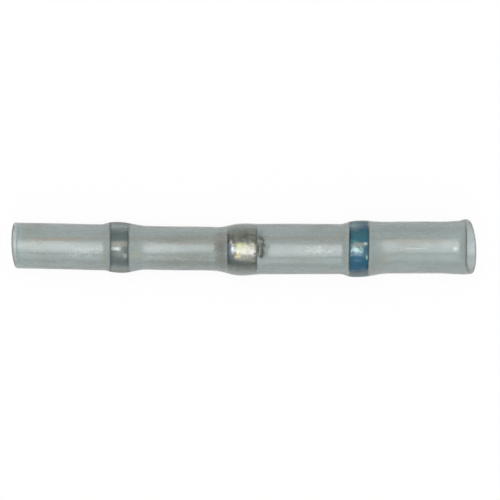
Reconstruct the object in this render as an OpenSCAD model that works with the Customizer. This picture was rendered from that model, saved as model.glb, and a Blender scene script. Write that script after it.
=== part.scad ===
// Heat-shrink solder splice: a shrunk sleeve that grips a solder ring between two hot-melt seal rings.
// X runs along the bore, with the grey ring at -X and the blue ring at +X. It lies on its side, +Z up,
// and the origin is on the bore's axis, midway between the sleeve's two tips.

/* [Sleeve] */
// Length over both tips
sleeve_len = 40; // [36:0.5:48]
// Wall of the shrunk sleeve
wall = 0.35; // [0.2:0.05:0.6]
// Bore of the mouth at the grey end
grey_mouth_d = 3.26; // [3.1:0.02:3.5]
// Bore of the waist between the grey ring and the solder ring
grey_waist_d = 3.09; // [3.0:0.01:3.3]
// Bore of the waist between the solder ring and the blue ring
blue_waist_d = 3.65; // [3.5:0.01:3.75]
// Bore of the mouth at the blue end
blue_mouth_d = 3.77; // [3.6:0.01:4.1]

/* [Bell mouth at the blue end] */
// Distance from the tip over which the mouth opens out
bell_len = 3.1; // [2:0.1:4]
// How much wider the bore is at the end of the bell
bell_rise = 0.13; // [0:0.01:0.3]
// Distance from the tip to the foot of the curled lip
lip_len = 1.3; // [0.8:0.1:1.8]
// Length over which the lip curls out
lip_curl = 0.45; // [0.2:0.05:0.6]
// How much wider the bore is past the curl
lip_rise = 0.13; // [0:0.01:0.3]

/* [Cut ends] */
// How far the short side of the grey end stands back from its tip
grey_cut_back = 0.48; // [0.1:0.02:1]
// How far the short side of the blue end stands back from its tip
blue_cut_back = 0.88; // [0.1:0.02:1.4]
// Height above the axis at which the grey end's cut turns square
grey_cut_knee = 0.6; // [0:0.1:1.2]
// Height above the axis at which the blue end's cut turns square
blue_cut_knee = 1.3; // [0:0.1:1.6]
// Turn of the grey end's long side about the axis
grey_cut_turn = 12; // [-45:1:45]
// Turn of the blue end's long side about the axis
blue_cut_turn = -14; // [-45:1:45]

/* [Grey seal ring] */
// Distance of the ring's middle from the sleeve's middle
grey_ring_offset = 10.72; // [9:0.1:12]
// Width of the ring
grey_ring_w = 1.66; // [1.2:0.02:2.2]
// Outside diameter at the ring's crown
grey_ring_od = 3.68; // [3.5:0.02:4]
// Wall of the ring, at its crown
grey_ring_wall = 0.36; // [0.28:0.01:0.6]
// Length of the sleeve's neck towards the mouth
grey_neck_out = 0.8; // [0.5:0.1:2]
// Length of the sleeve's neck towards the solder
grey_neck_in = 1.6; // [0.5:0.1:2.4]

/* [Solder ring] */
// Distance of the ring's middle from the sleeve's middle
solder_ring_offset = 0.14; // [0:0.02:1]
// Width of the ring
solder_ring_w = 2.66; // [2:0.02:3.4]
// Outside diameter at the ring's crown
solder_ring_od = 3.82; // [3.7:0.02:4]
// Wall of the ring, at its crown
solder_ring_wall = 0.47; // [0.4:0.01:0.7]
// How far the crown falls away towards the grey ring, where the solder has slumped
solder_slump = 0.22; // [0.07:0.01:0.24]
// Rounding of the outer edges
solder_edge = 0.14; // [0.05:0.01:0.2]
// Length of the sleeve's neck towards the grey ring
solder_neck_grey = 1.3; // [0.6:0.1:2]
// Length of the sleeve's neck towards the blue ring
solder_neck_blue = 1.0; // [0.6:0.1:2]

/* [Blue seal ring] */
// Distance of the ring's middle from the sleeve's middle
blue_ring_offset = 9.92; // [9:0.1:12]
// Width of the ring
blue_ring_w = 1.76; // [1.2:0.02:2.2]
// Outside diameter at the ring's crown
blue_ring_od = 4.18; // [3.9:0.02:4.4]
// Wall of the ring, at its crown
blue_ring_wall = 0.42; // [0.28:0.01:0.6]
// Length of the sleeve's neck towards the solder
blue_neck_in = 0.8; // [0.5:0.1:2]
// Length of the sleeve's neck towards the mouth
blue_neck_out = 1.6; // [0.5:0.1:2.4]

/* [Fit] */
// How far a ring's crown falls away from its middle to its edges
crown_drop = 0.07; // [0:0.01:0.12]
// Rounding of the seal rings' outer edges
seal_edge = 0.1; // [0.04:0.01:0.2]
// Rounding of every ring's inner edges
bore_edge = 0.08; // [0.04:0.01:0.12]
// Radial clearance between a ring's crown and the sleeve shrunk over it
grip_gap = 0.01; // [0:0.005:0.05]

/* [Hidden] */
$fn = 96;
// Steps in each neck, each crown and each rounded edge
neck_steps = 10;
crown_steps = 8;
edge_steps = 4;
// How far a cutting shape reaches past what it cuts
overcut = 1;

// A ring: place, width, crown diameter, wall, outer rounding, then for its two sides, -X first,
// how far the crown falls away and the length of the sleeve's neck
grey_ring = [-grey_ring_offset, grey_ring_w, grey_ring_od, grey_ring_wall, seal_edge,
    [crown_drop, crown_drop], [grey_neck_out, grey_neck_in]];
solder = [-solder_ring_offset, solder_ring_w, solder_ring_od, solder_ring_wall, solder_edge,
    [solder_slump, crown_drop], [solder_neck_grey, solder_neck_blue]];
blue_ring = [blue_ring_offset, blue_ring_w, blue_ring_od, blue_ring_wall, seal_edge,
    [crown_drop, crown_drop], [blue_neck_in, blue_neck_out]];
rings = [grey_ring, solder, blue_ring];
// Bore diameters of the plain stretches before, between and after the rings
bores = [grey_mouth_d, grey_waist_d, blue_waist_d, blue_mouth_d];

function middle(ring) = ring[0];
function half_width(ring) = ring[1] / 2;
function crown_d(ring) = ring[2];
function bore_r(ring) = crown_d(ring) / 2 - ring[3];
function drop_of(ring, side) = side < 0 ? ring[5][0] : ring[5][1];
function neck_len(ring, side) = side < 0 ? ring[6][0] : ring[6][1];
// The outer rounding, no larger than the wall has room for beside the bore's own rounding
function edge_of(ring, side) = min(ring[4], ring[3] - drop_of(ring, side) - grip_gap - bore_edge);

// Radius of a ring's crown at a distance from its middle
function crown_r(ring, off) = crown_d(ring) / 2 - drop_of(ring, off) * pow(off / half_width(ring), 2);
// Lean of the crown where the rounded edge takes over from it
function crown_lean(ring, side) =
    atan(2 * drop_of(ring, side) * (half_width(ring) - edge_of(ring, side)) / pow(half_width(ring), 2));
// Distance from the middle at which that is, so that the edge ends at the ring's side face
function crown_end(ring, side) = half_width(ring) - edge_of(ring, side) * (1 - sin(crown_lean(ring, side)));

// Smooth curve from a to b over a run, leaving a at a slope and reaching b level
function ease(t, a, slope, b, run) =
    (2 * pow(t, 3) - 3 * pow(t, 2) + 1) * a
    + (pow(t, 3) - 2 * pow(t, 2) + t) * slope * run
    + (3 * pow(t, 2) - 2 * pow(t, 3)) * b;

// The sleeve's inner surface along one ring: neck, crown and neck, as [radius, x]
function neck_points(ring, side, plain_r) =
    [for (i = [1 : neck_steps])
        let (t = i / neck_steps, foot = crown_end(ring, side), run = neck_len(ring, side))
            [ease(t, crown_r(ring, side * foot), -tan(crown_lean(ring, side)), plain_r, run),
                middle(ring) + side * (foot + t * run)]];
function crown_points(ring, gap) =
    [for (i = [0 : crown_steps])
        let (off = -crown_end(ring, -1) + i / crown_steps * (crown_end(ring, -1) + crown_end(ring, 1)))
            [crown_r(ring, off) - gap, middle(ring) + off]];
function backwards(points) = [for (i = [len(points) - 1 : -1 : 0]) points[i]];
function over_ring(i) = concat(
    backwards(neck_points(rings[i], -1, bores[i] / 2)),
    crown_points(rings[i], 0),
    neck_points(rings[i], 1, bores[i + 1] / 2));

// The bell and the curled lip at the blue end
function rise_points(start, run, from_r, to_r) =
    [for (i = [0 : neck_steps]) let (t = i / neck_steps) [ease(t, from_r, 0, to_r, run), start + t * run]];
bell_r = blue_mouth_d / 2 + bell_rise / 2;
lip_r = bell_r + lip_rise / 2;
tip = sleeve_len / 2;
bell_points = concat(
    rise_points(tip - bell_len, bell_len - lip_len, blue_mouth_d / 2, bell_r),
    rise_points(tip - lip_len, lip_curl, bell_r, lip_r));

// The sleeve's inner surface from end to end, and its outer surface one wall outside it
inner_line = concat(
    [[grey_mouth_d / 2, -tip]],
    over_ring(0), over_ring(1), over_ring(2),
    bell_points,
    [[lip_r, tip]]);
outer_line = [for (p = inner_line) [p[0] + wall, p[1]]];

// Turns a profile of [radius, x] into a solid about the X axis
module about_x() {
    rotate([0, 90, 0]) rotate_extrude() children();
}

// What the cutter takes off the +X end: square down to the knee, then raked out to the tip
module end_waste(back, knee, tip_r, turn) {
    rake = back / (knee + tip_r);
    reach = tip_r + overcut;
    rotate([turn, 0, 0]) rotate([90, 0, 0]) linear_extrude(2 * reach, center = true) polygon([
        [tip - back, reach],
        [tip - back, knee],
        [tip + rake * overcut, -reach],
        [tip + rake * overcut + overcut, -reach],
        [tip + rake * overcut + overcut, reach]]);
}

// A ring's outline as [radius, x]: crown, rounded outer edges and rounded bore edges
function outer_edge(ring, side) =
    let (lean = crown_lean(ring, side), r = edge_of(ring, side), off = side * crown_end(ring, side),
        hub = [crown_r(ring, off) - grip_gap - r * cos(lean), half_width(ring) - r])
    [for (i = [1 : edge_steps]) let (a = lean + i / edge_steps * (90 - lean))
        [hub[0] + r * cos(a), middle(ring) + side * (hub[1] + r * sin(a))]];
function inner_edge(ring, side) =
    [for (i = [0 : edge_steps]) let (a = i / edge_steps * 90)
        [bore_r(ring) + bore_edge * (1 - sin(a)),
            middle(ring) + side * (half_width(ring) - bore_edge * (1 - cos(a)))]];
function ring_outline(ring) = concat(
    crown_points(ring, grip_gap),
    outer_edge(ring, 1),
    inner_edge(ring, 1),
    backwards(inner_edge(ring, -1)),
    backwards(outer_edge(ring, -1)));

module shrink_sleeve() {
    color("lightsteelblue", 0.5) difference() {
        about_x() polygon(concat(outer_line, backwards(inner_line)));
        end_waste(blue_cut_back, blue_cut_knee, lip_r + wall, blue_cut_turn);
        mirror([1, 0, 0]) end_waste(grey_cut_back, grey_cut_knee, grey_mouth_d / 2 + wall, grey_cut_turn);
    }
}

module grey_seal_ring() {
    color("slategray") about_x() polygon(ring_outline(grey_ring));
}

module solder_ring() {
    color("silver") about_x() polygon(ring_outline(solder));
}

module blue_seal_ring() {
    color("steelblue") about_x() polygon(ring_outline(blue_ring));
}

shrink_sleeve();
grey_seal_ring();
solder_ring();
blue_seal_ring();
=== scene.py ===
import math

import bmesh
import bpy
from mathutils import Matrix, Vector, noise


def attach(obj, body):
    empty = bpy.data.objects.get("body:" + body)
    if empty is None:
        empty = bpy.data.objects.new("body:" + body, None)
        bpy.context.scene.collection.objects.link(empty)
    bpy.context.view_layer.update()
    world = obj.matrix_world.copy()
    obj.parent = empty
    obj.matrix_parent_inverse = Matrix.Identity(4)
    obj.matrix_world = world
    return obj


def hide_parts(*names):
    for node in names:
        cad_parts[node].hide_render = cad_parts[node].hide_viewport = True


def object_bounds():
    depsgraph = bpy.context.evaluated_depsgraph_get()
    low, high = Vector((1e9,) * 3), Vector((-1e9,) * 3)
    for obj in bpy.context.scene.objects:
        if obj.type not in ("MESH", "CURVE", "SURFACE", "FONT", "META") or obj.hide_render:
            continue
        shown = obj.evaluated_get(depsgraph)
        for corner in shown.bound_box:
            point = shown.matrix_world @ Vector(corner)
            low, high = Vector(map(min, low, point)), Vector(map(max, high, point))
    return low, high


# Solder splice: a milky shrunk sleeve over a grey seal ring, a solder ring and a blue seal ring.
# Lengths in the dictionaries are millimetres, along X from the middle of the sleeve.
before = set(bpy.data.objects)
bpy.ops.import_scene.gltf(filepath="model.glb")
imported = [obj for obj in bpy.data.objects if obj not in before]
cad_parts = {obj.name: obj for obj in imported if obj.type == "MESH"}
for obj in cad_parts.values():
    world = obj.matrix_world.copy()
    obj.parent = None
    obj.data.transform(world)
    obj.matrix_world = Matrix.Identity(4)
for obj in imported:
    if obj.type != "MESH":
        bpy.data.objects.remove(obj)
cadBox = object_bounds()
mm = 0.001
print("frame loaded")


# the shop table: white floor, white surroundings, three softboxes overhead and one off to the side
table = {"drop": 0.02, "side": 3000, "white": 0.8, "glow": 0.93}
surroundings = {"strength": 0.6}
softboxes = {
    "broad": {"height": 300, "along": -20, "side": -5, "length": 120, "width": 320, "watts": 0.285,
              "tint": (1, 1, 1), "aimed": False},
    "edge": {"height": 300, "along": -30, "side": 112, "length": 110, "width": 86, "watts": 0.14,
             "tint": (1, 0.84, 0.62), "aimed": False},
    "core": {"height": 300, "along": -40, "side": -8, "length": 110, "width": 140, "watts": 0.265,
             "tint": (0.93, 1, 0.98), "aimed": False},
    "fill": {"height": 260, "along": -10, "side": -330, "length": 150, "width": 200, "watts": 0.13,
             "tint": (0.92, 1, 1), "aimed": True}}
cameraRig = {"lens": 1200, "sensor": 36, "height": 1436, "x": 0.538, "y": -0.172, "clip": 10}


def seenRays(nodes, links):
    # 1 for the rays that show the table itself, and 0 for those that only light the object
    path = nodes.new("ShaderNodeLightPath")
    first = nodes.new("ShaderNodeMath")
    first.operation = "ADD"
    links.new(path.outputs["Is Camera Ray"], first.inputs[0])
    links.new(path.outputs["Is Glossy Ray"], first.inputs[1])
    both = nodes.new("ShaderNodeMath")
    both.operation = "ADD"
    both.use_clamp = True
    links.new(first.outputs[0], both.inputs[0])
    links.new(path.outputs["Is Transmission Ray"], both.inputs[1])
    return both.outputs[0]


def makeSurroundings():
    world = bpy.data.worlds.new("surroundings")
    world.use_nodes = True
    bpy.context.scene.world = world
    background = world.node_tree.nodes["Background"]
    background.inputs["Color"].default_value = (1, 1, 1, 1)
    background.inputs["Strength"].default_value = surroundings["strength"]


def makeTable():
    bpy.ops.mesh.primitive_plane_add(size=table["side"] * mm)
    top = bpy.context.object
    top.name = "table_top"
    top.data.transform(Matrix.Translation((0, 0, cadBox[0].z - table["drop"] * mm)))
    mat = bpy.data.materials.new("table white")
    mat.use_nodes = True
    nodes, links = mat.node_tree.nodes, mat.node_tree.links
    nodes.clear()
    out = nodes.new("ShaderNodeOutputMaterial")
    mix = nodes.new("ShaderNodeMixShader")
    matt = nodes.new("ShaderNodeBsdfDiffuse")
    matt.inputs["Color"].default_value = (table["white"], table["white"], table["white"], 1)
    glow = nodes.new("ShaderNodeEmission")
    share = nodes.new("ShaderNodeMath")
    share.operation = "MULTIPLY"
    share.inputs[1].default_value = table["glow"]
    links.new(seenRays(nodes, links), share.inputs[0])
    links.new(share.outputs[0], mix.inputs[0])
    links.new(matt.outputs[0], mix.inputs[1])
    links.new(glow.outputs[0], mix.inputs[2])
    links.new(mix.outputs[0], out.inputs["Surface"])
    top.data.materials.append(mat)


def makeSoftbox(name, box):
    light = bpy.data.lights.new(name, "AREA")
    light.shape = "RECTANGLE"
    light.size = box["length"] * mm
    light.size_y = box["width"] * mm
    light.energy = box["watts"]
    light.color = box["tint"]
    lamp = bpy.data.objects.new(name, light)
    bpy.context.collection.objects.link(lamp)
    lamp.location = Vector((box["along"], box["side"], box["height"])) * mm
    if box["aimed"]:
        lamp.rotation_euler.x = -math.atan2(box["side"], box["height"])


def makeCamera():
    data = bpy.data.cameras.new("camera")
    data.lens = cameraRig["lens"]
    data.sensor_width = cameraRig["sensor"]
    data.clip_end = cameraRig["clip"]
    cam = bpy.data.objects.new("camera", data)
    bpy.context.collection.objects.link(cam)
    cam.location = Vector((cameraRig["x"], cameraRig["y"], cameraRig["height"])) * mm
    bpy.context.scene.camera = cam


bpy.context.scene.view_settings.view_transform = "Standard"
makeSurroundings()
makeTable()
for name, box in softboxes.items():
    makeSoftbox(name, box)
makeCamera()
print("table, softboxes and camera placed")


# the sizes that the whole splice shares. Of a ring: place, width, crown diameter, wall, outer rounding,
# how far the crown falls away at each side, how long the sleeve's neck is on each side, how far past its
# sides the sleeve still grips, and its lean
greyRing = {"middle": -10.72, "width": 1.66, "crown": 3.68, "wall": 0.36, "edge": 0.1,
            "drops": (0.07, 0.07), "necks": (0.8, 1.6), "gripPast": 0.0, "lean": 0.0}
solderRing = {"middle": -0.14, "width": 2.66, "crown": 3.82, "wall": 0.47, "edge": 0.14,
              "drops": (0.22, 0.07), "necks": (1.3, 1.0), "gripPast": 0.0, "lean": 0.0}
blueRing = {"middle": 9.92, "width": 1.76, "crown": 4.18, "wall": 0.42, "edge": 0.1,
            "drops": (0.07, 0.07), "necks": (0.8, 1.6), "gripPast": 0.06, "lean": -0.03}
rings = (greyRing, solderRing, blueRing)
grip = {"gap": 0.01, "fade": 0.14, "boreEdge": 0.08, "crownSteps": 12, "edgeSteps": 5}
turning = {"steps": 96, "weld": 1e-7}


def onSide(pair, side):
    # of a pair, the value for the grey end's side where side is negative, or else for the blue end's
    return pair[0 if side < 0 else 1]


def crownRadius(ring, off):
    return ring["crown"] / 2 - onSide(ring["drops"], off) * (off / (ring["width"] / 2)) ** 2


def crownLean(ring, side):
    half = ring["width"] / 2
    return math.atan(2 * onSide(ring["drops"], side) * (half - ring["edge"]) / half ** 2)


def crownEnd(ring, side):
    return ring["width"] / 2 - ring["edge"] * (1 - math.sin(crownLean(ring, side)))


def ease(t, a, slopeA, b, slopeB, run):
    # a cubic from a to b over a run, which leaves and arrives at the given slopes
    return ((2 * t**3 - 3 * t**2 + 1) * a + (t**3 - 2 * t**2 + t) * slopeA * run
            + (3 * t**2 - 2 * t**3) * b + (t**3 - t**2) * slopeB * run)


def smooth(low, high, value):
    t = min(max((value - low) / (high - low), 0), 1)
    return t * t * (3 - 2 * t)


# how the real splice departs from a straight turned one: its axis bows in the plane of the table,
# its section is a little out of round, and the shrunk wall is a little lumpy
bow = {"at": (-20, -16, -12.5, -9.5, -6, -3.2, -1.2, 1.5, 5, 9.5, 12, 15, 18.4, 19.2, 20.1),
       "by": (0.23, 0.15, 0.06, 0.05, -0.03, -0.05, -0.14, -0.1, -0.085, -0.085, 0.02, 0.05, 0.04,
              0.055, 0.15)}
twist = {"at": (-20, -13, -9, -6, -1, 3, 8, 11, 13.5, 18, 20),
         "by": (-0.06, -0.12, -0.05, 0, 0, -0.14, -0.12, 0, 0.13, 0.12, 0.04)}
lumps = {"long": 2.6, "short": 0.9, "highLong": 0.022, "highShort": 0.006, "drawLong": 0.45,
         "drawShort": 0.6, "around": 2}


def curveAt(curve, x):
    # a smooth curve through the points of bow or twist
    at, by = curve["at"], curve["by"]
    last = len(at) - 1
    i = next((i for i in range(last - 1) if x <= at[i + 1]), last - 1)
    before, after = max(i - 1, 0), min(i + 2, last)
    span = at[i + 1] - at[i]
    slopeA = (by[i + 1] - by[before]) / (at[i + 1] - at[before])
    slopeB = (by[after] - by[i]) / (at[after] - at[i])
    return ease((x - at[i]) / span, by[i], slopeA, by[i + 1], slopeB, span)


def lumpAt(x, across, up):
    across, up = across * lumps["around"], up * lumps["around"]
    far = Vector((x * lumps["drawLong"], across, up)) / lumps["long"]
    near = Vector((x * lumps["drawShort"], across, up)) / lumps["short"]
    return noise.noise(far) * lumps["highLong"] + noise.noise(near) * lumps["highShort"]


def settle(bm, lean=0.0):
    # moves every piece by the same field, so that the sleeve stays shrunk over its rings
    for v in bm.verts:
        x, y, z = v.co / mm
        radius = math.hypot(y, z)
        across, up = y / radius, z / radius
        grown = radius + lumpAt(x, across, up) + curveAt(twist, x) * across * up
        v.co = Vector((x - lean * y, across * grown + curveAt(bow, x), up * grown)) * mm


def turnProfile(profile):
    # spins a closed profile of (x, radius) about the X axis
    bm = bmesh.new()
    verts = [bm.verts.new((x * mm, 0, r * mm)) for x, r in profile]
    edges = [bm.edges.new(pair) for pair in zip(verts, verts[1:] + verts[:1])]
    bmesh.ops.spin(bm, geom=verts + edges, cent=(0, 0, 0), axis=(1, 0, 0), dvec=(0, 0, 0),
                   angle=2 * math.pi, steps=turning["steps"], use_merge=True)
    bmesh.ops.remove_doubles(bm, verts=bm.verts, dist=turning["weld"])
    bmesh.ops.recalc_face_normals(bm, faces=bm.faces)
    return bm


def finishPiece(name, bm, mat, node):
    mesh = bpy.data.meshes.new(name)
    bm.to_mesh(mesh)
    bm.free()
    mesh.shade_smooth()
    piece = bpy.data.objects.new(name, mesh)
    bpy.context.collection.objects.link(piece)
    mesh.materials.append(mat)
    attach(piece, "root")
    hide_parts(node)


# the shrunk sleeve. Its skin is how far out from the bore the outer face begins and is full.
sleeve = {"length": 40, "wall": 0.35, "bores": (3.26, 3.09, 3.65, 3.77), "stations": 300,
          "bellLength": 3.1, "bellRise": 0.13, "lipFrom": 1.3, "lipCurl": 0.45, "lipRise": 0.05,
          "rimRound": 0.12, "rimSteps": 3, "skin": (0.1, 0.3)}
cuts = {"greyBack": 0.48, "blueBack": 0.88, "greyKnee": 0.6, "blueKnee": 1.3,
        "greyTurn": 12, "blueTurn": -14, "reach": 3.5, "greyGrown": 0.07, "blueGrown": 0.1}
lipBump = {"middle": 19.68, "length": 0.34, "spread": 40, "high": 0.12, "reach": 1.2}
skew = {"grey": -0.095, "blue": 0.02, "full": 0.2, "reach": 2.4,
        "sag": 0.34, "sagRadius": 2.4, "sagPeak": 0.9, "sagEnd": 3}
# the painted shade on the cut faces at the two tips, and a painted paler, clearer strip at the top of the
# grey tip: how far back from the tip each begins and is full, and how strong it gets
tipTints = {"blueTop": {"from": 0.3, "full": 0.08, "share": 0.62},
            "blueFoot": {"from": 0.1, "full": 0.02, "share": 0.5},
            "greyFoot": {"from": sleeve["rimRound"], "full": 0.02, "share": 0.7},
            "greySoft": {"from": 0.6, "full": 0.05, "share": 1, "height": (-0.2, 0.4)}}
sleeveNotes = ("gripped", "overGrey", "overBlue", "outside", "cutFace", "softEnd")


def boreAt(x):
    radii = [d / 2 for d in sleeve["bores"]]
    for i, ring in enumerate(rings):
        off = x - ring["middle"]
        side = -1 if off < 0 else 1
        foot = crownEnd(ring, side)
        neck = onSide(ring["necks"], side)
        if abs(off) <= foot:
            return crownRadius(ring, off)
        if abs(off) <= foot + neck:
            plain = onSide((radii[i], radii[i + 1]), side)
            slope = -math.tan(crownLean(ring, side))
            start = crownRadius(ring, side * foot)
            return ease((abs(off) - foot) / neck, start, slope, plain, 0, neck)
    tip = sleeve["length"] / 2
    plain = radii[sum(x > ring["middle"] for ring in rings)]
    bell = smooth(tip - sleeve["bellLength"], tip - sleeve["lipFrom"], x) * sleeve["bellRise"] / 2
    curl = smooth(tip - sleeve["lipFrom"], tip - sleeve["lipFrom"] + sleeve["lipCurl"], x)
    return plain + bell + curl * sleeve["lipRise"] / 2


def sleeveProfile():
    tip, wall, count = sleeve["length"] / 2, sleeve["wall"], sleeve["stations"]
    curve = sleeve["rimRound"]
    outer = [(x, boreAt(x) + wall) for x in
             [-tip + curve + i / count * 2 * (tip - curve) for i in range(count + 1)]]
    inner = [(x, r - wall) for x, r in reversed(outer)]

    rightR, leftR = boreAt(tip) + wall, boreAt(-tip) + wall
    right = [(tip - curve + curve * math.sin(a), rightR - curve + curve * math.cos(a)) for a in
             [math.pi / 2 * i / sleeve["rimSteps"] for i in range(1, sleeve["rimSteps"] + 1)]]
    rightIn = [(x, 2 * rightR - wall - r) for x, r in reversed(right)]
    left = [(-x, r - rightR + leftR) for x, r in reversed(right)]
    leftIn = [(x, 2 * leftR - wall - r) for x, r in reversed(left)]
    return outer + right + rightIn + inner + leftIn + left


def rakeEnds(bm):
    # slides the two ends back to their hand-cut planes: square at the top, raked out to the tip below
    tip = sleeve["length"] / 2
    for v in bm.verts:
        x, y, z = v.co / mm
        side, key = (1, "blue") if x > 0 else (-1, "grey")
        near = smooth(tip - cuts["reach"], tip, abs(x))
        if near == 0:
            continue
        turn = math.radians(cuts[key + "Turn"])
        high = z * math.cos(turn) - y * math.sin(turn)
        knee, low = cuts[key + "Knee"], boreAt(side * tip) + sleeve["wall"]
        share = min((high + low) / (knee + low), 1)
        v.co.x += side * (cuts[key + "Grown"] - cuts[key + "Back"] * share) * near * mm


def outsideShare(x, y, z):
    # 0 on the sleeve's inner face and 1 on its outer one
    low, high = sleeve["skin"]
    return smooth(low, high, math.hypot(y, z) - boreAt(x))


def skewBulges(bm):
    # leans the outside of the bulge over each seal ring, and lets the blue one sag on one side
    for v in bm.verts:
        x, y, z = v.co / mm
        outside = outsideShare(x, y, z)
        for ring, amount in ((greyRing, skew["grey"]), (blueRing, skew["blue"])):
            near = 1 - smooth(skew["full"], skew["reach"], abs(x - ring["middle"]))
            v.co.x += amount * y * near * outside * mm
        past = x - blueRing["middle"]
        v.co.x += (skew["sag"] * max(-y, 0) / skew["sagRadius"] * smooth(0, skew["sagPeak"], past)
                   * (1 - smooth(skew["sagPeak"], skew["sagEnd"], past)) * outside * mm)


def curlLip(bm):
    # the lip stands proud on one side only
    for v in bm.verts:
        x, y, z = v.co / mm
        if x < lipBump["middle"] - lipBump["reach"]:
            continue
        radius = math.hypot(y, z)
        angle = math.degrees(math.atan2(z, y))
        rise = (lipBump["high"] * math.exp(-((x - lipBump["middle"]) / lipBump["length"]) ** 2)
                * math.exp(-(angle / lipBump["spread"]) ** 2))
        v.co.y += y / radius * rise * mm
        v.co.z += z / radius * rise * mm


def atTip(x, mark):
    tip = sleeve["length"] / 2
    return smooth(tip - mark["from"], tip - mark["full"], abs(x)) * mark["share"]


def markSleeve(bm):
    # notes on each point what the finish goes by: the grip, the side of the wall, and the two ends
    note = {name: bm.verts.layers.float.new(name) for name in sleeveNotes}
    for v in bm.verts:
        x, y, z = v.co / mm
        held = [1 - smooth(-grip["fade"], ring["gripPast"], abs(x - ring["middle"]) - ring["width"] / 2)
                for ring in rings]
        v[note["gripped"]] = max(held)
        v[note["overGrey"]] = held[0]
        v[note["overBlue"]] = held[2]
        v[note["outside"]] = outsideShare(x, y, z)
        if x > 0:
            v[note["cutFace"]] = atTip(x, tipTints["blueTop" if z > 0 else "blueFoot"])
        else:
            soft = tipTints["greySoft"]
            v[note["cutFace"]] = 0 if z > 0 else atTip(x, tipTints["greyFoot"])
            v[note["softEnd"]] = atTip(x, soft) * smooth(*soft["height"], z)


# node groups that more than one finish uses, each of which puts out one mask
def newGroup(name, given):
    group = bpy.data.node_groups.new(name, "ShaderNodeTree")
    for label, value in given.items():
        kind = "NodeSocketVector" if isinstance(value, tuple) else "NodeSocketFloat"
        socket = group.interface.new_socket(name=label, in_out="INPUT", socket_type=kind)
        socket.default_value = value
    group.interface.new_socket(name="Mask", in_out="OUTPUT", socket_type="NodeSocketFloat")
    nodes = group.nodes
    return group, nodes, group.links, nodes.new("NodeGroupInput"), nodes.new("NodeGroupOutput")


def feed(links, socket, value):
    # a socket takes another node's output, a number or a colour
    if isinstance(value, bpy.types.NodeSocket):
        links.new(value, socket)
    elif isinstance(value, tuple) and socket.type == "RGBA":
        socket.default_value = (*value, 1)
    else:
        socket.default_value = value


def maths(nodes, links, kind, first, second=0):
    node = nodes.new("ShaderNodeMath")
    node.operation = kind
    feed(links, node.inputs[0], first)
    feed(links, node.inputs[1], second)
    return node.outputs[0]


def vectors(nodes, links, kind, first, second=None):
    node = nodes.new("ShaderNodeVectorMath")
    node.operation = kind
    links.new(first, node.inputs[0])
    if second is not None:
        feed(links, node.inputs["Scale" if kind == "SCALE" else 1], second)
    return node.outputs["Value" if kind == "LENGTH" else "Vector"]


def ramp(nodes, links, value, fromLow, fromHigh, low=0.0, high=1.0):
    # eases from low to high as the value goes from one bound to the other
    node = nodes.new("ShaderNodeMapRange")
    node.interpolation_type = "SMOOTHSTEP"
    for label, given in (("Value", value), ("From Min", fromLow), ("From Max", fromHigh),
                         ("To Min", low), ("To Max", high)):
        feed(links, node.inputs[label], given)
    return node.outputs["Result"]


def between(nodes, links, mask, off, on):
    # off where the mask is 0, and on where it is 1
    return ramp(nodes, links, mask, 0, 1, off, on)


def blotchGroup():
    # soft uneven patches, stretched along the splice
    group, nodes, links, given, put = newGroup("blotches", {
        "Size": 1.0, "Stretch": 1.0, "Low": 0.4, "High": 0.6, "Detail": 3.0, "Shift": 0.0})
    join = nodes.new("ShaderNodeCombineXYZ")
    across = maths(nodes, links, "MULTIPLY", given.outputs["Size"], mm)
    links.new(maths(nodes, links, "MULTIPLY", across, given.outputs["Stretch"]), join.inputs["X"])
    links.new(across, join.inputs["Y"])
    links.new(across, join.inputs["Z"])
    place = nodes.new("ShaderNodeTexCoord").outputs["Object"]
    cloud = nodes.new("ShaderNodeTexNoise")
    cloud.noise_dimensions = "4D"
    cloud.inputs["Scale"].default_value = 1
    links.new(vectors(nodes, links, "DIVIDE", place, join.outputs[0]), cloud.inputs["Vector"])
    links.new(given.outputs["Detail"], cloud.inputs["Detail"])
    links.new(given.outputs["Shift"], cloud.inputs["W"])
    mask = ramp(nodes, links, cloud.outputs["Fac"], given.outputs["Low"], given.outputs["High"])
    links.new(mask, put.inputs["Mask"])
    return group


raggedEdge = {"scale": 4, "detail": 4, "level": 0.5, "depth": 3.5}


def spotGroup():
    # one ragged spot at a place on the splice, in millimetres
    group, nodes, links, given, put = newGroup("spot", {
        "Place": (0.0, 0.0, 0.0), "Size": (1.0, 1.0, 1.0), "Soft": 0.4, "Ragged": 0.5})
    place = nodes.new("ShaderNodeTexCoord").outputs["Object"]
    real = vectors(nodes, links, "SCALE", place, 1 / mm)
    away = vectors(nodes, links, "SUBTRACT", real, given.outputs["Place"])
    share = vectors(nodes, links, "DIVIDE", away, given.outputs["Size"])
    reach = vectors(nodes, links, "LENGTH", share)
    cloud = nodes.new("ShaderNodeTexNoise")
    cloud.inputs["Scale"].default_value = raggedEdge["scale"]
    cloud.inputs["Detail"].default_value = raggedEdge["detail"]
    links.new(real, cloud.inputs["Vector"])
    tear = maths(nodes, links, "SUBTRACT", cloud.outputs["Fac"], raggedEdge["level"])
    depth = maths(nodes, links, "MULTIPLY", given.outputs["Ragged"], raggedEdge["depth"])
    distance = maths(nodes, links, "ADD", reach, maths(nodes, links, "MULTIPLY", tear, depth))
    inner = maths(nodes, links, "SUBTRACT", 1, given.outputs["Soft"])
    links.new(ramp(nodes, links, distance, inner, 1, 1, 0), put.inputs["Mask"])
    return group


blotchNodes = blotchGroup()
spotNodes = spotGroup()


def useGroup(nodes, links, group, **values):
    node = nodes.new("ShaderNodeGroup")
    node.node_tree = group
    for label, value in values.items():
        feed(links, node.inputs[label], value)
    return node.outputs["Mask"]


def startFinish(name):
    mat = bpy.data.materials.new(name)
    mat.use_nodes = True
    return mat, mat.node_tree.nodes, mat.node_tree.links, mat.node_tree.nodes["Principled BSDF"]


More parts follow.
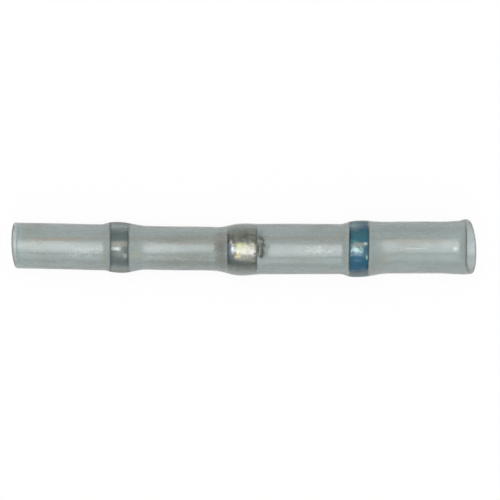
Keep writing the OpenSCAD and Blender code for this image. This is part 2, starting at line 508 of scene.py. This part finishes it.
def tint(nodes, links, share, first, second):
    mix = nodes.new("ShaderNodeMix")
    mix.data_type = "RGBA"
    for socket, value in ((0, share), (6, first), (7, second)):  # the factor and the two colours
        feed(links, mix.inputs[socket], value)
    return mix.outputs[2]


def relief(nodes, links, height, depth):
    bump = nodes.new("ShaderNodeBump")
    bump.inputs["Strength"].default_value = 1
    bump.inputs["Distance"].default_value = depth * mm
    links.new(height, bump.inputs["Height"])
    return bump.outputs["Normal"]


def noted(nodes, name):
    node = nodes.new("ShaderNodeAttribute")
    node.attribute_name = name
    return node.outputs["Fac"]


def patch(place, size, shade=None, strength=1.0, soft=0.7, ragged=0.4):
    # one uneven patch of another shade, or of wear, by its place and half sizes in millimetres
    return {"spot": {"Place": place, "Size": size, "Soft": soft, "Ragged": ragged},
            "shade": shade, "strength": strength}


def patchMask(nodes, links, one):
    mask = useGroup(nodes, links, spotNodes, **one["spot"])
    return maths(nodes, links, "MULTIPLY", mask, one["strength"])


def strongest(nodes, links, masks):
    total = masks[0]
    for mask in masks[1:]:
        total = maths(nodes, links, "MAXIMUM", total, mask)
    return total


def anyPatch(nodes, links, patches):
    return strongest(nodes, links, [patchMask(nodes, links, one) for one in patches])


def patched(nodes, links, colour, patches):
    for one in patches:
        colour = tint(nodes, links, patchMask(nodes, links, one), colour, one["shade"])
    return colour


# the sleeve's finish: its shades, how hazy its two faces are, how rough and how glossy its skin is, the
# lines beside the rings, of which the grip lines are painted shade, and its patches, which hold its own
# tones as well as painted highlights and painted shade. A slant is 0 where the wall is seen square and 1
# edge on.
allRound = 60.0  # a half size that takes in the whole section
milk = {
    "colour": (0.205, 0.268, 0.268), "streak": (0.2255, 0.2948, 0.2948), "warm": (0.195, 0.238, 0.215),
    "overSolder": (0.155, 0.19, 0.175), "overGrey": (0.19, 0.25, 0.25), "overBlue": (0.02, 0.09, 0.145),
    "rim": (0.03, 0.04, 0.04), "greyRim": (0.24, 0.225, 0.215), "blueRim": (0.2, 0.27, 0.26),
    "rimSlant": (0.42, 0.85), "rimShare": (0.72, 0.84),
    "cutShade": (0.06, 0.085, 0.085), "softShade": (0.24, 0.33, 0.33),
    "outer": 0.66, "edge": 0.8, "hazeSlant": (0.2, 0.9), "uneven": (0.96, 1.04),
    "held": 0.05, "heldEdge": 0.95, "heldFrom": (0.14, 0.22), "heldTo": (0.55, 0.5),
    "inner": 0.1, "innerHeld": 0.04, "cut": 0.92, "soft": 0.528, "darkenedHaze": 0.97,
    "satin": (0.224, 0.336), "wornRough": 0.4, "heldRough": 0.165, "mattSlant": (0.35, 0.65),
    "mattRough": 0.75, "darkenedRough": 0.9, "darkenedRoughFull": 0.8, "darkenedCoatFull": 0.6,
    "glossy": (0.3, 0.9), "polish": 0.11, "shine": 0.75, "relief": 0.005,
    "meniscus": {"out": 0.14, "half": 0.1, "share": 0.28, "shade": (0.3, 0.37, 0.36),
                 "sides": ((greyRing, 1), (solderRing, 1), (blueRing, -1), (blueRing, 1))},
    # painted shade: dark lines round the seal rings' sides, where the sleeve grips them
    "gripShadeLine": {"out": -0.07, "half": 0.12, "share": 0.8, "shade": (0.035, 0.045, 0.045),
                 "sides": ((greyRing, -1), (greyRing, 1), (blueRing, -1), (blueRing, 1))},
    "worn": (
        patch((-3.6, 0.0, 2.0), (3.6, 1.6, 1.6), strength=0.9, soft=0.8, ragged=0.2),),
    "matt": (
        patch((-2.0, 0.0, 1.9), (0.75, 1.7, 1.6), soft=0.6, ragged=0.2),
        patch((1.65, 0.0, 2.0), (0.75, 1.4, 1.6), soft=0.6, ragged=0.3),
        patch((18.95, 0.0, 2.1), (0.6, 2.2, 2.2), strength=0.95, soft=0.6, ragged=0.2)),
    # the sleeve's own tones, and painted light and shade, patch by patch
    "tonesAndPaintedLight": (
        # painted shade in the necks on both sides of the solder ring
        patch((-2.0, 0.4, 2.0), (1.0, 1.7, 1.6), (0.062, 0.056, 0.042), 0.95, soft=0.9, ragged=0.3),
        patch((-1.9, -1.2, 1.6), (0.9, 1.25, 1.6), (0.07, 0.079, 0.052), 1.0, soft=0.9, ragged=0.3),
        patch((1.42, -0.1, 2.0), (0.42, 1.2, 1.4), (0.088, 0.11, 0.084), 0.9, soft=0.8, ragged=0.3),
        patch((1.95, -0.1, 2.0), (0.55, 0.85, 1.2), (0.13, 0.185, 0.155), 0.75, soft=0.9, ragged=0.3),
        patch((1.35, 1.3, 1.9), (0.5, 0.8, 1.4), (0.1, 0.13, 0.145), 0.75, ragged=0.5),
        # painted warm, darker band along the upper edge of the highlight, the whole length
        patch((0.0, 0.83, 1.8), (26.0, 0.34, 0.9), (0.2, 0.195, 0.16), 0.7, soft=0.9, ragged=0.2),
        # darker on the lower half of the middle stretch
        patch((-5.0, -1.2, 1.4), (4.9, 1.15, 1.5), (0.145, 0.168, 0.132), 0.9, soft=0.8, ragged=0.3),
        patch((-13.0, -1.5, 1.4), (1.6, 0.6, 1.2), (0.23, 0.225, 0.215), 0.6, soft=0.9, ragged=0.5),
        patch((12.0, -0.9, 1.9), (1.3, 0.6, 1.2), (0.26, 0.27, 0.22), 0.5, soft=0.9, ragged=0.5),
        patch((-9.75, 0.55, 2.1), (0.22, 0.17, 0.5), (0.2, 0.25, 0.13), 0.7),
        # painted warm, darker bands along the upper edge of the highlight on the left, end and middle
        # stretches
        patch((-16.0, 0.76, 1.85), (4.4, 0.32, 0.9), (0.245, 0.205, 0.158), 0.8, soft=0.9, ragged=0.25),
        patch((15.2, 0.6, 2.1), (4.2, 0.24, 0.9), (0.24, 0.22, 0.175), 0.75, soft=0.9, ragged=0.25),
        patch((-5.0, 0.42, 1.9), (4.2, 0.26, 0.9), (0.185, 0.18, 0.145), 0.75, soft=0.9, ragged=0.25),
        # darker under the left stretch's highlight
        patch((-16.0, -0.85, 1.8), (4.0, 0.42, 0.9), (0.18, 0.22, 0.205), 0.65, soft=0.9, ragged=0.3),
        patch((-9.35, -0.62, 2.1), (0.85, 0.48, 1.5), (0.29, 0.31, 0.225), 0.95, soft=0.95, ragged=0.12),
        patch((-12.0, -0.9, 1.5), (0.6, 0.9, 1.4), (0.2, 0.215, 0.165), 0.55, soft=0.9, ragged=0.3),
        # painted warm, darker band above the middle stretch's highlight
        patch((-5.0, 0.75, 1.8), (4.6, 0.75, 1.2), (0.155, 0.17, 0.138), 0.75, soft=0.9, ragged=0.3),
        # painted highlight: paler flecks in the highlight of the left and right stretches
        patch((-13.9, -0.35, 2.0), (1.7, 0.45, 0.9), (0.42, 0.46, 0.5), 0.55, soft=0.9, ragged=1.3),
        patch((6.2, -0.25, 2.1), (1.8, 0.4, 0.9), (0.5, 0.56, 0.55), 0.5, soft=0.9, ragged=1.1),
        # darker under the middle stretch's highlight
        patch((-5.0, -0.5, 1.9), (4.6, 0.34, 0.9), (0.15, 0.18, 0.162), 0.55, soft=0.9, ragged=0.3),
        # darker along the top of the end stretch
        patch((15.2, 1.6, 1.4), (4.0, 0.8, 1.2), (0.165, 0.225, 0.222), 0.65, soft=0.9, ragged=0.3),
        # painted light: a paler glow under the end stretch's highlight, a bright highlight line and a
        # highlight spot
        patch((15.2, -0.6, 2.0), (3.6, 1.1, 1.2), (0.225, 0.3, 0.285), 0.5, soft=0.9, ragged=0.2),
        patch((14.7, -0.05, 2.2), (1.4, 0.08, 0.6), (0.46, 0.56, 0.55), 0.75, soft=0.9, ragged=0.15),
        patch((18.2, -0.08, 2.2), (0.3, 0.27, 0.9), (0.52, 0.66, 0.62), 0.95, soft=0.95, ragged=0.2),
        # darker just before the lip
        patch((18.9, 0.1, 2.1), (0.6, 1.6, 1.6), (0.165, 0.2, 0.187), 0.65, soft=0.8, ragged=0.2),
        # painted paler, cooler light on the inside of the bottom wall at the mouth
        patch((19.75, 0.0, -2.2), (0.8, 2.7, 1.9), (0.22, 0.37, 0.38), 0.85, soft=0.5, ragged=0.1)),
    # haze tones over the seal rings, and painted shade along their lower edges
    "sealHazeAndShade": (
        patch((9.45, 1.95, 1.4), (0.62, 0.6, 1.2), (0.14, 0.215, 0.225), 0.85, soft=0.9, ragged=0.25),
        patch((10.45, 1.9, 1.4), (0.42, 0.7, 1.2), (0.002, 0.035, 0.1), 0.95, soft=0.9, ragged=0.25),
        # painted shade: a darker margin along the lower edge under the blue ring
        patch((9.9, -2.28, 0.9), (1.3, 0.3, 1.0), (0.115, 0.122, 0.112), 0.85, soft=0.8, ragged=0.15),
        patch((9.95, -2.04, 1.3), (1.4, 0.25, 1.0), (0.006, 0.035, 0.045), 0.95, soft=0.9, ragged=0.15),
        # painted shade: a darker margin along the lower edge under the grey ring
        patch((-10.7, -1.9, 1.2), (1.4, 0.45, 1.0), (0.168, 0.192, 0.18), 0.85, soft=0.9, ragged=0.2)),
    # dark, matt, nearly opaque patches: dark ragged marks just right of the solder ring, and painted shade
    # lines round the grey ring's sides and along the solder ring's right edge
    "soot": (
        # painted shade line round the grey ring's left side
        patch((-11.5, 0.0, 0.0), (0.14, allRound, allRound), (0.09, 0.11, 0.11), 0.5, soft=0.8, ragged=0.12),
        # dark ragged marks just right of the solder ring
        patch((1.48, 0.82, 2.1), (0.5, 0.42, 1.2), (0.042, 0.052, 0.054), 0.95, soft=1.0, ragged=0.6),
        patch((1.65, 0.48, 2.1), (0.26, 0.62, 1.2), (0.02, 0.028, 0.023), 1.0, soft=1.0, ragged=0.6),
        patch((1.58, -0.05, 2.1), (0.32, 0.95, 1.2), (0.048, 0.064, 0.047), 0.95, soft=1.0, ragged=0.5),
        patch((1.55, -0.62, 2.1), (0.34, 0.36, 1.0), (0.03, 0.042, 0.033), 1.0, soft=1.0, ragged=0.6),
        # painted shade line round the grey ring's right side
        patch((-9.86, 0.0, 0.0), (0.1, allRound, allRound), (0.09, 0.11, 0.105), 0.4, soft=0.8, ragged=0.12),
        # painted shade line along the solder ring's right edge
        patch((1.24, -0.08, 2.2), (0.15, 0.9, 1.6), (0.05, 0.046, 0.038), 0.95, soft=0.7, ragged=0.2))}


def lined(nodes, links, colour, line):
    # paints a soft line round the splice at some of the rings' sides
    masks = []
    for ring, side in line["sides"]:
        x = ring["middle"] + side * (ring["width"] / 2 + line["out"])
        masks.append(useGroup(nodes, links, spotNodes, Place=(x, 0.0, 0.0),
                              Size=(line["half"], allRound, allRound), Soft=0.9, Ragged=0.1))
    share = maths(nodes, links, "MULTIPLY", strongest(nodes, links, masks), line["share"])
    return tint(nodes, links, share, colour, line["shade"])


def sleeveMasks(nodes, links):
    # what the sleeve's finish goes by: the notes on its points, its slant, its wear, and its dark marks and
    # painted shade lines
    mask = {name: noted(nodes, name) for name in sleeveNotes}
    weight = nodes.new("ShaderNodeLayerWeight")
    weight.inputs["Blend"].default_value = 0.5
    mask["slant"] = weight.outputs["Facing"]
    mask["overSeal"] = maths(nodes, links, "MAXIMUM", mask["overGrey"], mask["overBlue"])
    soot = anyPatch(nodes, links, milk["soot"])
    mask["sooty"] = maths(nodes, links, "MULTIPLY", soot, mask["outside"])
    mask["dulled"] = anyPatch(nodes, links, milk["worn"] + milk["matt"])
    slanted = ramp(nodes, links, mask["slant"], *milk["mattSlant"])
    mask["heldRim"] = maths(nodes, links, "MULTIPLY", mask["overSeal"], slanted)
    return mask


def sleeveHaze(nodes, links, mask):
    # how milky the wall is: clear where it grips a ring, and milkier where it is seen at a slant
    cloudy = useGroup(nodes, links, blotchNodes, Size=1.4, Stretch=3.0, Low=0.3, High=0.7)
    plain = ramp(nodes, links, mask["slant"], *milk["hazeSlant"], milk["outer"], milk["edge"])
    plain = maths(nodes, links, "MULTIPLY", plain, between(nodes, links, cloudy, *milk["uneven"]))
    heldFrom = between(nodes, links, mask["overBlue"], *milk["heldFrom"])
    heldTo = between(nodes, links, mask["overBlue"], *milk["heldTo"])
    held = ramp(nodes, links, mask["slant"], heldFrom, heldTo, milk["held"], milk["heldEdge"])
    outer = between(nodes, links, mask["gripped"], plain, held)
    inner = between(nodes, links, mask["gripped"], milk["inner"], milk["innerHeld"])
    haze = between(nodes, links, mask["outside"], inner, outer)
    haze = between(nodes, links, mask["cutFace"], haze, milk["cut"])
    haze = between(nodes, links, mask["softEnd"], haze, milk["soft"])
    return between(nodes, links, mask["sooty"], haze, milk["darkenedHaze"])


def sleeveColour(nodes, links, mask):
    streaks = useGroup(nodes, links, blotchNodes, Size=0.3, Stretch=14.0, Low=0.3, High=0.7, Shift=3.0)
    colour = tint(nodes, links, streaks, milk["colour"], milk["streak"])
    warm = useGroup(nodes, links, blotchNodes, Size=2.2, Stretch=1.8, Low=0.42, High=0.7, Shift=9.0)
    colour = tint(nodes, links, warm, colour, milk["warm"])
    # the sleeve's own tones, with painted highlights, painted warm bands above the highlight and painted
    # shade in the solder ring's necks
    colour = patched(nodes, links, colour, milk["tonesAndPaintedLight"])
    colour = lined(nodes, links, colour, milk["meniscus"])

    overRing = tint(nodes, links, mask["overGrey"], milk["overSolder"], milk["overGrey"])
    overRing = tint(nodes, links, mask["overBlue"], overRing, milk["overBlue"])
    # haze tones over the seal rings, with painted shade along their lower edges
    overRing = patched(nodes, links, overRing, milk["sealHazeAndShade"])
    # painted shade lines round the seal rings' sides
    overRing = lined(nodes, links, overRing, milk["gripShadeLine"])
    colour = tint(nodes, links, mask["gripped"], colour, overRing)

    rimShade = tint(nodes, links, mask["overGrey"], milk["rim"], milk["greyRim"])
    rimShade = tint(nodes, links, mask["overBlue"], rimShade, milk["blueRim"])
    rimShare = between(nodes, links, mask["overSeal"], *milk["rimShare"])
    rim = ramp(nodes, links, mask["slant"], *milk["rimSlant"], 0, rimShare)
    colour = tint(nodes, links, rim, colour, rimShade)
    # painted shade on the cut faces at the tips, and a painted paler strip at the grey tip's top
    colour = tint(nodes, links, mask["cutFace"], colour, milk["cutShade"])
    colour = tint(nodes, links, mask["softEnd"], colour, milk["softShade"])
    # the dark marks right of the solder ring and the painted shade lines
    return patched(nodes, links, colour, milk["soot"])


def sleeveRoughness(nodes, links, mask):
    fine = useGroup(nodes, links, blotchNodes, Size=0.6, Stretch=3.5, Low=0.3, High=0.7, Shift=2.0)
    rough = between(nodes, links, fine, *milk["satin"])
    rough = between(nodes, links, mask["dulled"], rough, milk["wornRough"])
    rough = between(nodes, links, mask["gripped"], rough, milk["heldRough"])
    matt = maths(nodes, links, "MAXIMUM", mask["heldRim"], anyPatch(nodes, links, milk["matt"]))
    rough = between(nodes, links, matt, rough, milk["mattRough"])
    return ramp(nodes, links, mask["sooty"], 0, milk["darkenedRoughFull"], rough, milk["darkenedRough"])


def sleeveCoat(nodes, links, mask):
    # glossier in patches, with no coat where the skin has the dark marks or painted shade lines, where it is
    # worn, or at a slant over a seal ring
    patchy = useGroup(nodes, links, blotchNodes, Size=0.36, Stretch=3.0, Low=0.25, High=0.72, Shift=6.0)
    patchy = between(nodes, links, patchy, *milk["glossy"])
    sooty = ramp(nodes, links, mask["sooty"], 0, milk["darkenedCoatFull"])
    clean = maths(nodes, links, "SUBTRACT", mask["outside"], sooty)
    clean = maths(nodes, links, "SUBTRACT", clean, mask["dulled"])
    clean = maths(nodes, links, "SUBTRACT", clean, mask["heldRim"])
    coat = nodes.new("ShaderNodeClamp")
    links.new(maths(nodes, links, "MULTIPLY", patchy, clean), coat.inputs["Value"])
    return coat.outputs[0]


def milkySleeve():
    mat, nodes, links, skin = startFinish("milky sleeve")
    mask = sleeveMasks(nodes, links)
    links.new(sleeveHaze(nodes, links, mask), skin.inputs["Alpha"])
    links.new(sleeveColour(nodes, links, mask), skin.inputs["Base Color"])
    links.new(sleeveRoughness(nodes, links, mask), skin.inputs["Roughness"])
    links.new(sleeveCoat(nodes, links, mask), skin.inputs["Coat Weight"])
    skin.inputs["Coat Roughness"].default_value = milk["polish"]
    skin.inputs["Specular IOR Level"].default_value = milk["shine"]
    height = useGroup(nodes, links, blotchNodes, Size=0.6, Stretch=3.5, Low=0.2, High=0.8, Detail=2.0,
                      Shift=4.0)
    links.new(relief(nodes, links, height, milk["relief"]), skin.inputs["Normal"])
    return mat


def makeSleeve():
    bm = turnProfile(sleeveProfile())
    skewBulges(bm)
    markSleeve(bm)
    curlLip(bm)
    rakeEnds(bm)
    settle(bm)
    finishPiece("shrunk_sleeve", bm, milkySleeve(), "shrink_sleeve")


# the rings inside it
def ringProfile(ring):
    half, edge, inner = ring["width"] / 2, ring["edge"], grip["boreEdge"]
    bore = ring["crown"] / 2 - ring["wall"]
    left, right = -crownEnd(ring, -1), crownEnd(ring, 1)
    offs = [left + i / grip["crownSteps"] * (right - left) for i in range(grip["crownSteps"] + 1)]
    crown = [(ring["middle"] + off, crownRadius(ring, off) - grip["gap"]) for off in offs]

    def outerEdge(side):
        lean, steps = crownLean(ring, side), grip["edgeSteps"]
        hub = crownRadius(ring, side * crownEnd(ring, side)) - grip["gap"] - edge * math.cos(lean)
        angles = [lean + i / steps * (math.pi / 2 - lean) for i in range(1, steps + 1)]
        return [(ring["middle"] + side * (half - edge + edge * math.sin(a)), hub + edge * math.cos(a))
                for a in angles]

    def innerEdge(side):
        steps = grip["edgeSteps"]
        angles = [i / steps * math.pi / 2 for i in range(steps + 1)]
        return [(ring["middle"] + side * (half - inner * (1 - math.cos(a))),
                 bore + inner * (1 - math.sin(a))) for a in angles]

    return crown + outerEdge(1) + innerEdge(1) + innerEdge(-1)[::-1] + outerEdge(-1)[::-1]


def makeRing(name, ring, mat, node):
    bm = turnProfile(ringProfile(ring))
    along = bm.verts.layers.float.new("along")
    for v in bm.verts:
        v[along] = (v.co.x / mm - ring["middle"]) / (ring["width"] / 2)
    settle(bm, ring["lean"])
    finishPiece(name, bm, mat, node)


# the two hot-melt rings. Their sides darken in a painted shade from one share of their half width to
# another.
meltSkin = {"rough": 0.38, "shine": 0.35, "polish": 0.1, "relief": 0.02, "side": (0.78, 0.94)}
smokyMelt = {
    "deep": (0.1, 0.14, 0.135), "pale": (0.12, 0.148, 0.14), "edge": (0.06, 0.07, 0.066),
    "shift": 10.0,
    "patches": (
        # painted light: the lit band above the highlight, a lighter band below it, the highlight itself and
        # a pale glint
        patch((-10.72, 0.35, 1.8), (1.5, 0.36, 0.9), (0.27, 0.285, 0.255), 0.9, soft=0.5, ragged=0.12),
        patch((-10.8, -0.5, 1.8), (1.3, 0.38, 0.9), (0.17, 0.2, 0.2), 0.9, soft=0.8, ragged=0.2),
        patch((-11.02, -0.06, 1.8), (0.66, 0.25, 0.9), (0.6, 0.67, 0.65), soft=0.9, ragged=0.3),
        patch((-10.25, -0.66, 1.7), (0.34, 0.3, 0.9), (0.36, 0.37, 0.38), 0.9, soft=0.9, ragged=0.4))}
blueMelt = {
    "deep": (0.006, 0.095, 0.19), "pale": (0.022, 0.12, 0.17), "edge": (0.004, 0.05, 0.06),
    "shift": 20.0,
    "patches": (
        patch((9.9, 1.1, 1.6), (1.4, 0.55, 0.9), (0.035, 0.14, 0.165), 0.85, soft=0.8, ragged=0.2),
        patch((9.6, 1.85, 0.9), (0.7, 0.55, 0.9), (0.2, 0.26, 0.28), 0.7, ragged=0.4),
        patch((9.58, 0.52, 1.9), (0.42, 0.26, 0.9), (0.05, 0.23, 0.21), 0.9, ragged=0.6),
        # painted light: the lit band above the highlight and a lighter band below it
        patch((9.9, 0.27, 1.9), (1.1, 0.34, 0.9), (0.23, 0.28, 0.25), 0.9, ragged=0.35),
        patch((9.85, -0.5, 1.9), (1.0, 0.34, 0.9), (0.2, 0.33, 0.44), 0.9, soft=0.9, ragged=0.4),
        patch((10.35, -0.35, 1.9), (0.4, 0.7, 0.9), (0.07, 0.17, 0.2), 0.75, soft=0.9, ragged=0.3),
        # a painted highlight and two painted glints
        patch((9.72, -0.18, 1.9), (0.78, 0.34, 0.9), (0.52, 0.75, 0.73), soft=0.85, ragged=0.5),
        patch((10.48, 0.38, 1.9), (0.2, 0.18, 0.9), (0.5, 0.6, 0.56), soft=0.9, ragged=0.4),
        patch((10.62, -0.84, 1.8), (0.17, 0.28, 0.9), (0.42, 0.56, 0.5), soft=0.9, ragged=0.4))}


def hotMelt(name, shades):
    # smooth cast plastic with painted shade at its sides, and patches of its own tones and of painted
    # highlights, glints and lit bands
    mat, nodes, links, skin = startFinish(name)
    shift = shades["shift"]
    cloudy = useGroup(nodes, links, blotchNodes, Size=0.9, Stretch=1.2, Low=0.35, High=0.68, Shift=shift)
    colour = tint(nodes, links, cloudy, shades["deep"], shades["pale"])
    # tones of its own, and painted highlights, glints and the lit bands round them
    colour = patched(nodes, links, colour, shades["patches"])
    along = maths(nodes, links, "ABSOLUTE", noted(nodes, "along"))
    # painted shade at the ring's sides
    side = ramp(nodes, links, along, *meltSkin["side"])
    links.new(tint(nodes, links, side, colour, shades["edge"]), skin.inputs["Base Color"])
    skin.inputs["Roughness"].default_value = meltSkin["rough"]
    skin.inputs["Specular IOR Level"].default_value = meltSkin["shine"]
    patchy = useGroup(nodes, links, blotchNodes, Size=0.35, Low=0.5, High=0.7, Shift=shift + 1)
    links.new(patchy, skin.inputs["Coat Weight"])
    skin.inputs["Coat Roughness"].default_value = meltSkin["polish"]
    height = useGroup(nodes, links, blotchNodes, Size=0.5, Low=0.2, High=0.8, Shift=shift + 2)
    links.new(relief(nodes, links, height, meltSkin["relief"]), skin.inputs["Normal"])
    return mat


# the solder ring
slump = {
    "dull": (0.19, 0.205, 0.18), "bright": (0.34, 0.35, 0.3), "dust": 0.24, "rough": (0.3, 0.44),
    "relief": 0.022,
    "patches": (
        # painted shade along the bottom of the ring
        patch((0.1, -1.4, 1.3), (1.6, 0.55, 0.9), (0.17, 0.185, 0.175), 0.85, ragged=0.4),
        # painted light: the highlight, a lighter band below it and its palest part
        patch((0.25, -0.1, 1.9), (1.5, 0.8, 0.9), (0.46, 0.46, 0.39), 0.95, soft=0.5, ragged=0.4),
        patch((0.2, -0.75, 1.7), (0.85, 0.38, 0.9), (0.34, 0.34, 0.3), 0.8, ragged=0.5),
        patch((0.7, -0.4, 1.8), (0.7, 0.42, 0.9), (0.62, 0.59, 0.58), 0.9, soft=0.9, ragged=0.6),
        patch((-0.35, 0.2, 1.9), (0.62, 0.36, 0.9), (0.42, 0.45, 0.25), 0.9, soft=0.9, ragged=0.8),
        patch((-0.5, -0.66, 1.7), (0.4, 0.34, 0.9), (0.72, 0.58, 0.34), 0.85, soft=0.9, ragged=0.5),
        patch((-0.62, -0.76, 1.7), (0.24, 0.22, 0.9), (0.95, 0.9, 0.66), 0.9, soft=0.9, ragged=0.4),
        patch((0.95, -0.5, 1.8), (0.13, 0.12, 0.5), (0.1, 0.09, 0.12), soft=0.6),
        # painted shade on the slumped left side and at the lower left
        patch((-1.25, -0.45, 1.6), (0.31, 1.25, 1.3), (0.22, 0.245, 0.32), 0.95, soft=0.6, ragged=0.25),
        patch((-0.95, -1.2, 1.3), (0.75, 0.55, 0.9), (0.14, 0.17, 0.18), 0.85, soft=0.8, ragged=0.4),
        # painted glints
        patch((-0.97, -0.1, 1.9), (0.2, 0.55, 0.9), (0.68, 0.78, 0.92), soft=0.9, ragged=0.35),
        patch((-1.1, 0.52, 1.8), (0.15, 0.26, 0.9), (0.75, 0.7, 0.78), 0.9, soft=0.9, ragged=0.4))}


def slumpedSolder():
    # dull mottled metal with flux tints and a dark speck, a painted highlight with glints, and painted shade
    # on its slumped left side and along its bottom
    mat, nodes, links, skin = startFinish("slumped solder")
    mottle = useGroup(nodes, links, blotchNodes, Size=0.4, Low=0.36, High=0.64, Detail=4.0, Shift=1.0)
    colour = tint(nodes, links, mottle, slump["dull"], slump["bright"])
    # flux tints and a dark speck, with painted highlights, glints and painted shade
    colour = patched(nodes, links, colour, slump["patches"])
    dusty = useGroup(nodes, links, blotchNodes, Size=0.22, Low=0.3, High=0.7, Detail=4.0, Shift=12.0)
    colour = tint(nodes, links, between(nodes, links, dusty, 0, slump["dust"]), colour, slump["dull"])
    links.new(colour, skin.inputs["Base Color"])
    skin.inputs["Metallic"].default_value = 1
    grain = useGroup(nodes, links, blotchNodes, Size=0.3, Low=0.35, High=0.65, Shift=8.0)
    links.new(between(nodes, links, grain, *slump["rough"]), skin.inputs["Roughness"])
    height = useGroup(nodes, links, blotchNodes, Size=0.45, Low=0.2, High=0.8, Detail=4.0, Shift=7.0)
    links.new(relief(nodes, links, height, slump["relief"]), skin.inputs["Normal"])
    return mat


makeSleeve()
print("sleeve made")
makeRing("grey_melt_ring", greyRing, hotMelt("smoky hot melt", smokyMelt), "grey_seal_ring")
makeRing("slumped_solder_ring", solderRing, slumpedSolder(), "solder_ring")
makeRing("blue_melt_ring", blueRing, hotMelt("blue hot melt", blueMelt), "blue_seal_ring")
print("rings made")
